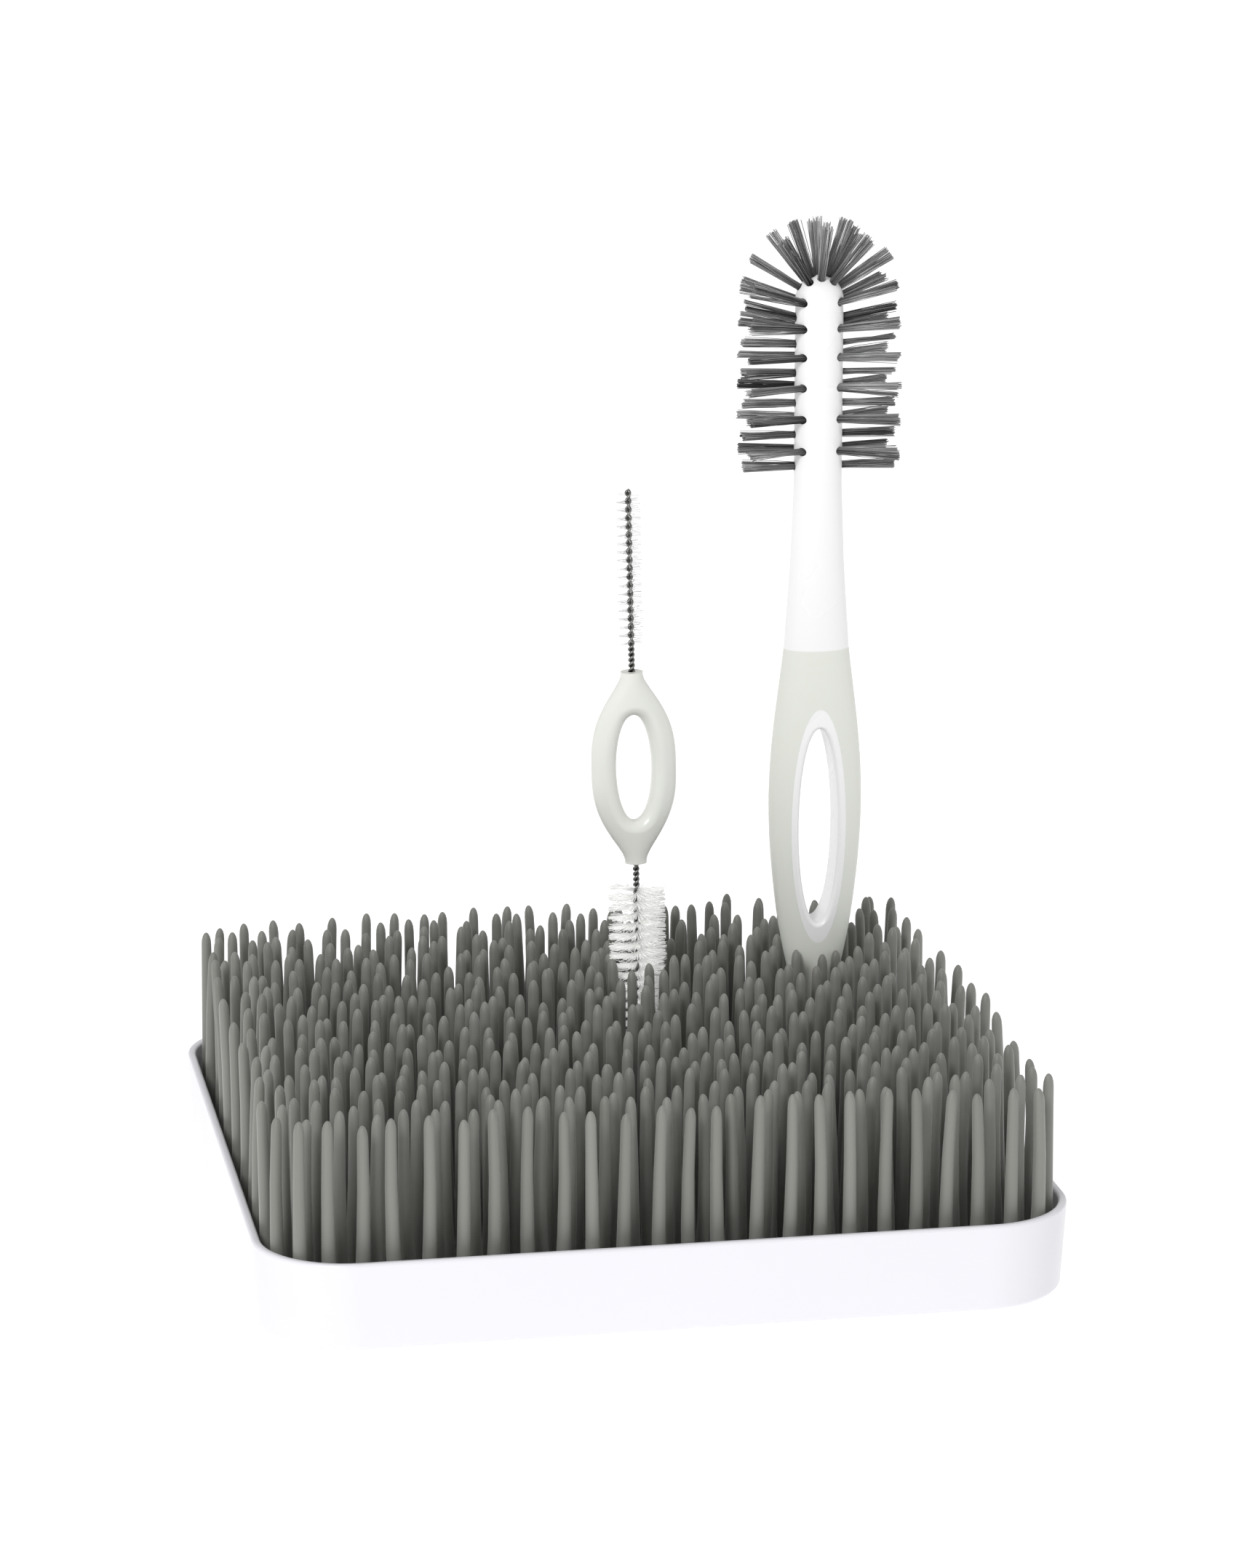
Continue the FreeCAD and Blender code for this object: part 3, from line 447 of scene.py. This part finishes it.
def make_tray():
    """A face that grows into a block with a basin in it, as wide as the CAD tray."""
    low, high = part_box("tray")
    width, depth, height = high - low
    base = (1 - 2 * TRAY_DRAFT / width, 1 - 2 * TRAY_DRAFT / depth, 1)
    bm = bmesh.new()
    rounded_square(bm, width, depth, TRAY_CORNER, CORNER_SEGMENTS)
    for vert in bm.verts:
        vert.co.z = height
    top = bm.faces[:][0]
    grown = bmesh.ops.extrude_face_region(bm, geom=[top])["geom"]
    foot = [g for g in grown if isinstance(g, bmesh.types.BMVert)]
    bmesh.ops.translate(bm, vec=(0, 0, -height), verts=foot)
    bmesh.ops.scale(bm, vec=base, verts=foot)
    bmesh.ops.recalc_face_normals(bm, faces=bm.faces)
    top = max(bm.faces, key=lambda face: face.calc_center_median().z)
    bmesh.ops.inset_region(bm, faces=[top], thickness=TRAY_WALL, use_even_offset=True)
    inner = max((f for f in bm.faces if f.normal.z > 0.9), key=lambda face: face.calc_area())
    grown = bmesh.ops.extrude_face_region(bm, geom=[inner])["geom"]
    floor = [g for g in grown if isinstance(g, bmesh.types.BMVert)]
    bmesh.ops.delete(bm, geom=[inner], context="FACES_ONLY")
    bmesh.ops.translate(bm, vec=(0, 0, TRAY_FLOOR - height), verts=floor)
    bmesh.ops.scale(bm, vec=base, verts=floor)
    bmesh.ops.recalc_face_normals(bm, faces=bm.faces)
    rim = [e for e in face_edges_at(bm, height) if len({round(f.normal.z) for f in e.link_faces}) > 1]
    round_over(bm, rim, RIM_ROUND, 5)
    round_over(bm, face_edges_at(bm, 0), FOOT_ROUND, 4)
    round_over(bm, face_edges_at(bm, TRAY_FLOOR), BASIN_ROUND, 4)
    return bm


piece("drip_tray", make_tray(), tray_white, "tray", ["tray"], sharp=50, weighted=True)

# %% [markdown]
# ## The insert's floor and the handles
#
# These CAD nodes already have their true shape, so they stay and only get a finish. A CAD node is never
# moved or changed: a new material goes into its slots.

# %% Refinish the CAD nodes that stay
def refinish(node, material):
    """Gives a CAD node a new material."""
    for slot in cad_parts[node].material_slots:
        slot.material = material
    print(node, "keeps its mesh:", len(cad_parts[node].data.polygons), "triangles")


def floor_finish():
    """The blades' rubber, painted darker than the blades as painted shade for the deep floor between them,
    where little light reaches.
    """
    finish = Finish("insert_rubber")
    drift = finish.noise(60, 3.0)
    # painted shade: a darker rubber than the blades' own, so the floor between the blades looks deep
    finish.feed("Base Color", finish.blend(drift, (0.09, 0.091, 0.082), (0.12, 0.121, 0.11)))
    finish.feed("Roughness", drift * 0.2 + 0.5)
    finish.bump(finish.noise(900, 3.0), 0.00003)
    return finish.material


insert_rubber = floor_finish()
for node in ("insert_floor", "insert_pegs"):
    refinish(node, insert_rubber)
refinish("brush_core", core_white)
refinish("brush_grip", grip_grey)
refinish("detail_handle", ring_grey)

# %% [markdown]
# ## The bottle brush's tufts
#
# A tuft is a bundle of nylon threads pulled into a hole in the stem and trimmed level. From a few steps
# away you see separate threads at the splayed end and one dark bundle at the root. A textured cone would
# look solid at its end, so each tuft is some fifty threads. They don't spread evenly: the threads of a
# sector of the tuft stay together, so the tuft ends in a few locks with gaps between them. The tones are
# darker at the roots, where little light gets in. A thread is a triangle extruded in two steps, which is
# enough at this thickness.

# %% Threads
def template_thread(sides=3, steps=2):
    """A straight thread of length 1 and radius 1 along Z, with closed ends."""
    bm = bmesh.new()
    ring = bmesh.ops.create_circle(bm, segments=sides, radius=1, cap_ends=True)["verts"]
    edges = list(bm.edges)
    for _ in range(steps):
        grown = bmesh.ops.extrude_edge_only(bm, edges=edges)["geom"]
        ring = [g for g in grown if isinstance(g, bmesh.types.BMVert)]
        edges = [g for g in grown if isinstance(g, bmesh.types.BMEdge)]
        bmesh.ops.translate(bm, vec=(0, 0, 1 / steps), verts=ring)
    bmesh.ops.holes_fill(bm, edges=edges, sides=sides)
    bmesh.ops.recalc_face_normals(bm, faces=bm.faces)
    mesh = bpy.data.meshes.new("template_thread")
    bm.to_mesh(mesh)
    bm.free()
    return mesh


thread_mesh = template_thread()


def add_thread(bm, shade, start, end, radius, tone, sag=Vector(), root_shade=None):
    """Lays one thread from start to end, bowed by sag at its middle; its root may be painted darker, as
    painted shade.
    """
    already = len(bm.verts)
    bm.from_mesh(thread_mesh)
    bm.verts.ensure_lookup_table()
    run = end - start
    turn = run.to_track_quat("Z", "Y").to_matrix().to_4x4()
    place = Matrix.Translation(start) @ turn @ Matrix.Diagonal((radius, radius, run.length, 1))
    for vert in bm.verts[already:]:
        along = vert.co.z
        vert.co = place @ vert.co + sag * 4 * along * (1 - along)
        vert[shade] = root_shade if root_shade is not None and along < 0.1 else tone


print("template thread", len(thread_mesh.polygons), "faces")

# %% Tufts
THREADS_IN_TUFT, LOCKS_IN_TUFT = 52, 4
TUFT_THREAD, ROOT_SPREAD, THREAD_SAG = 0.13 * MM, 1.05 * MM, 0.15
DOME_RISE, END_LAYER = 7.6 * MM, 0.8 * MM
STRAY_CHANCE, STRAY_REACH = 0.08, 1.4
# how much darker the tuft roots are painted: painted shade where little light gets into the tuft
ROOT_SHADE = 0.35


def disc_points(count, chance):
    """Points spread evenly over a disc of radius 1, with a little scatter."""
    golden = math.pi * (3 - math.sqrt(5))
    for n in range(count):
        reach = math.sqrt((n + 0.5) / count)
        angle = n * golden + chance.uniform(-0.2, 0.2)
        yield Vector((reach * math.cos(angle), reach * math.sin(angle), 0))


def tuft_ends(points, axis_point):
    """The root and tip of a CAD tuft: its two end discs, root nearer to the stem's axis."""
    far = max(points, key=lambda p: (p - axis_point).length)
    direction = (far - middle(points)).normalized()
    spans = sorted((p.dot(direction), p) for p in points)
    low, high = spans[0][0], spans[-1][0]
    return [middle([p for s, p in spans if abs(s - end) < END_LAYER]) for end in (low, high)]


def make_tufts(node, chance, fan):
    """Threads for every tuft of a CAD node; fan is how far their ends spread, as a radius."""
    low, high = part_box("brush_core")
    stem = (low + high) / 2
    bm = bmesh.new()
    shade = bm.verts.layers.float.new("shade")
    for points in node_islands(node):
        level = min(middle(points).z, high.z - DOME_RISE)
        root, tip = tuft_ends(points, Vector((stem.x, stem.y, level)))
        run = (tip - root).normalized()
        side = run.orthogonal().normalized()
        other = run.cross(side)
        spread = chance.uniform(0.8, 1.05)
        tone = chance.uniform(0.3, 0.75)
        locks = [
            (chance.gauss(0, 0.55), chance.gauss(0, 0.55), chance.uniform(-1.3, -0.1), chance.gauss(0, 0.14))
            for _ in range(LOCKS_IN_TUFT)
        ]
        for spot in disc_points(THREADS_IN_TUFT, chance):
            sector = (math.atan2(spot.y, spot.x) / math.tau) % 1
            lock_x, lock_y, lock_end, lock_tone = locks[int(sector * LOCKS_IN_TUFT)]
            start = root + (side * spot.x + other * spot.y) * ROOT_SPREAD
            wild = 1.0 if chance.random() < 1 - STRAY_CHANCE else STRAY_REACH
            x, y = spot.x * spread * wild * fan + lock_x * MM, spot.y * spread * wild * fan + lock_y * MM
            end = tip + side * x + other * y + run * (lock_end + chance.uniform(-0.5, 0.1)) * MM
            sag = side * chance.gauss(0, THREAD_SAG) * MM + other * chance.gauss(0, THREAD_SAG) * MM
            shown = min(1, max(0, chance.gauss(tone + lock_tone, 0.22)))
            add_thread(bm, shade, start, end, TUFT_THREAD, shown, sag, shown * ROOT_SHADE)
    return bm


tuft_chance = random.Random(11)
TUFT_FANS = {"left": 1.75 * MM, "right": 1.75 * MM, "crown": 2.3 * MM}
for group, fan in TUFT_FANS.items():
    node = f"tufts_{group}"
    threads = make_tufts(node, tuft_chance, fan)
    piece(f"threads_{group}", threads, tuft_nylon, "bottle_brush", [node])

# %% [markdown]
# ## The detail brush's wires
#
# Each wire is two strands twisted together, which is what grips the bristles. The bristles keep the strands
# apart, so the twist is tight where the wire is bare and looser where it holds bristles. A Screw modifier
# has only one pitch. Here a small circle is spun about the wire's axis while it climbs, and a second spin
# goes on from the first one's end with the other pitch.

# %% Twisted wires
STRAND_RADIUS = 0.54 * MM
BARE_PITCH, STRAW_PITCH, TEAT_PITCH = 3.4 * MM, 5.3 * MM, 6.4 * MM
STEPS_A_TURN, STRAND_SIDES = 14, 8


def along_node(node):
    """The bottom and top points of a straight CAD rod."""
    points = [vert.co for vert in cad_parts[node].data.vertices]
    low, high = min(p.z for p in points), max(p.z for p in points)
    return [middle([p for p in points if abs(p.z - end) < 0.1 * MM]) for end in (low, high)]


def make_wire(stretches):
    """Two strands along Z from the origin; stretches are lengths with the pitch of each."""
    bm = bmesh.new()
    for half_turn in (0, math.pi):
        section = bmesh.ops.create_circle(bm, segments=STRAND_SIDES, radius=STRAND_RADIUS)["verts"]
        upright = Matrix.Rotation(math.pi / 2, 4, "X")
        shift = Matrix.Translation((STRAND_RADIUS, 0, 0))
        bmesh.ops.transform(bm, matrix=Matrix.Rotation(half_turn, 4, "Z") @ shift @ upright, verts=section)
        last = section + list({edge for vert in section for edge in vert.link_edges})
        for length, pitch in stretches:
            turns = length / pitch
            steps = round(turns * STEPS_A_TURN)
            last = bmesh.ops.spin(
                bm, geom=last, cent=(0, 0, 0), axis=(0, 0, 1), dvec=(0, 0, length / steps),
                angle=math.tau * turns, steps=steps, use_merge=False, use_duplicate=False,
            )["geom_last"]
    bmesh.ops.holes_fill(bm, edges=[e for e in bm.edges if e.is_boundary], sides=STRAND_SIDES)
    bmesh.ops.recalc_face_normals(bm, faces=bm.faces)
    return bm


def stand_between(bm, bottom, top):
    """Turns and moves a mesh made along Z from the origin, so that it runs from bottom towards top."""
    lean = (top - bottom).to_track_quat("Z", "Y").to_matrix().to_4x4()
    bmesh.ops.transform(bm, matrix=Matrix.Translation(bottom) @ lean, verts=bm.verts)
    return bm


def bristle_stretch(wire, bristles):
    """Where a wire's bristles start and end along it, and the wire's length."""
    bottom, top = along_node(wire)
    upright = (top - bottom).normalized().z
    low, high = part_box(bristles)
    return (low.z - bottom.z) / upright, (high.z - bottom.z) / upright, (top - bottom).length


for name, loose_pitch in (("straw", STRAW_PITCH), ("teat", TEAT_PITCH)):
    wire_node = f"{name}_wire"
    start, end, length = bristle_stretch(wire_node, f"{name}_bristles")
    stretches = [(start, BARE_PITCH), (end - start, loose_pitch), (length - end, BARE_PITCH)]
    twisted = stand_between(make_wire(stretches), *along_node(wire_node))
    piece(f"twisted_{wire_node}", twisted, twisted_steel, "detail_brush", [wire_node])

# %% [markdown]
# ## The clear bristles
#
# The bristles pass between the two strands, so they stand out in a spiral that follows the twist. That
# spiral is what makes the brush look ribbed. Each thread is placed on the spiral with a little scatter, and
# the lower threads of the wide brush are shorter, where the blades press them in.

# %% Clear bristles
BRISTLE_MARGIN, BRISTLE_ROOT = 0.4 * MM, 0.4 * MM
STRAW_THREADS, STRAW_REACH, STRAW_THREAD = 360, 4.0 * MM, 0.085 * MM
TEAT_THREADS, TEAT_THREAD = 3400, 0.1 * MM
TEAT_WIDEST, TEAT_LOWEST, TEAT_WIDENING, WIDENING_SHARE = 9.35, 4.0, 5.4, 0.6


def make_bristles(name, count, pitch, reach_at, thread_radius, scatter, droop, chance):
    """Threads through the twist: they stand out to both sides in a spiral, with some scatter and droop."""
    bottom, top = along_node(f"{name}_wire")
    first, last, _ = bristle_stretch(f"{name}_wire", f"{name}_bristles")
    axis = (top - bottom).normalized()
    side = axis.orthogonal().normalized()
    other = axis.cross(side)
    bm = bmesh.new()
    shade = bm.verts.layers.float.new("shade")
    for n in range(count):
        share = (n + 0.5) / count
        level = first + BRISTLE_MARGIN + (last - first - 2 * BRISTLE_MARGIN) * share
        angle = math.tau * level / pitch + chance.gauss(0, scatter) + (math.pi if n % 2 else 0)
        reach = reach_at(share) * chance.uniform(0.93, 0.995)
        out = side * math.cos(angle) + other * math.sin(angle)
        start = bottom + axis * level + out * BRISTLE_ROOT
        end = bottom + axis * (level + chance.gauss(0, droop)) + out * reach
        sag = axis * chance.gauss(0, droop / 2)
        add_thread(bm, shade, start, end, thread_radius, chance.random(), sag)
    return bm


bristle_chance = random.Random(23)
straw = make_bristles(
    "straw", STRAW_THREADS, STRAW_PITCH, lambda share: STRAW_REACH, STRAW_THREAD, 0.22, 0.1 * MM,
    bristle_chance,
)
piece("straw_threads", straw, straw_nylon, "detail_brush", ["straw_bristles"])


def teat_reach(share):
    """Half the wide brush's width: pressed in where the blades hold it."""
    return min(TEAT_WIDEST, TEAT_LOWEST + TEAT_WIDENING * share / WIDENING_SHARE) * MM


teat = make_bristles(
    "teat", TEAT_THREADS, TEAT_PITCH, teat_reach, TEAT_THREAD, 0.34, 0.3 * MM, bristle_chance,
)
piece("teat_threads", teat, teat_nylon, "detail_brush", ["teat_bristles"])
bpy.data.meshes.remove(thread_mesh)

# %% [markdown]
# ## Floor and light
#
# A catalogue picture has a white floor that runs into a white background, and light from large soft lamps.
# The floor is one big plane of back-lit paper: it gives off a little light of its own, so the object throws
# hardly any shadow on it. The sky is plain white. A large lamp at the left and in front gives the blades
# their lit side.
#
# Blender's usual view of a scene, AgX, presses bright tones together, so white paper looks grey in it. The
# Standard view leaves the tones as they are.

# %% Floor
FLOOR_HALF_WIDTH, PAPER_GLOW = 6, 0.75


def make_floor():
    """A plane of glowing white paper that stays with the studio, not with the rack."""
    bm = bmesh.new()
    bmesh.ops.create_grid(bm, x_segments=2, y_segments=2, size=FLOOR_HALF_WIDTH)
    mesh = bpy.data.meshes.new("studio_floor")
    bm.to_mesh(mesh)
    bm.free()
    finish = Finish(
        "studio_paper", Roughness=0.9, Emission_Color=(1, 1, 1, 1), Emission_Strength=PAPER_GLOW,
    )
    finish.surface.inputs["Specular IOR Level"].default_value = 0.0
    finish.feed("Base Color", finish.blend(finish.noise(3), (0.55, 0.55, 0.55), (0.57, 0.57, 0.57)))
    mesh.materials.append(finish.material)
    floor = bpy.data.objects.new("studio_floor", mesh)
    bpy.context.scene.collection.objects.link(floor)


make_floor()

# %% Sky and lamps
SKY_STRENGTH = 0.6
world = bpy.data.worlds.new("studio_sky")
world.use_nodes = True
world.node_tree.nodes["Background"].inputs["Color"].default_value = (1, 1, 1, 1)
world.node_tree.nodes["Background"].inputs["Strength"].default_value = SKY_STRENGTH
bpy.context.scene.world = world
bpy.context.scene.view_settings.view_transform = "Standard"


def lamp(name, place, width, power, target=(0, 0, 0.06)):
    """A round soft lamp that shines at the middle of the blades."""
    light = bpy.data.lights.new(name, "AREA")
    light.shape, light.size, light.energy = "DISK", width, power
    made = bpy.data.objects.new(name, light)
    bpy.context.scene.collection.objects.link(made)
    made.location = place
    aim(made, Vector(place) - Vector(target))
    print(name, power, "W")


lamp("key_lamp", (-1.1, -1.7, 1.5), 0.8, 27)
lamp("top_lamp", (0.2, 0.6, 2.0), 1.4, 3)

# %% [markdown]
# ## Bringing the scene up to date
#
# The last step brings the scene up to date.

# %% Bring the scene up to date
bpy.context.view_layer.update()
